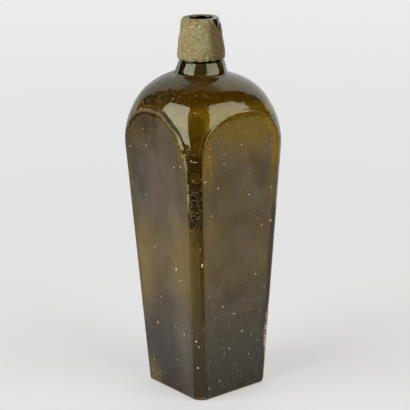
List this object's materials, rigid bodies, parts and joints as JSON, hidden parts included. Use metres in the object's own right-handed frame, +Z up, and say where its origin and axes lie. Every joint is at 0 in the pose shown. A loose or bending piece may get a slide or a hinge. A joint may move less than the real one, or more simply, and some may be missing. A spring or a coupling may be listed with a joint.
{
  "type": "gin bottle",
  "caption": "Tall square bottle, tapering to the foot, with arched flat panels, a round shoulder, a short neck and a conical laid-on collar under a weathered crust; open mouth.",
  "frame": {"origin": "centre of the foot, on the surface that the bottle stands on", "axes": "+Z up the bottle's axis to the mouth; the four panels face -Y, +X, +Y and -X"},
  "size_m": [0.0878, 0.0878, 0.27],
  "materials": {
    "olive_glass": "dark olive amber glass, glossy on shoulder and neck, satin and finely ribbed on the panels",
    "collar_glass": "dark olive amber glass, glossy where it shows",
    "sandy_crust": "rough, mottled, weathered crust of an old seal"
  },
  "bodies": {
    "root": {"glass_body": "olive_glass", "laid_on_collar": "collar_glass", "seal_crust": "sandy_crust"}
  },
  "joints": []
}
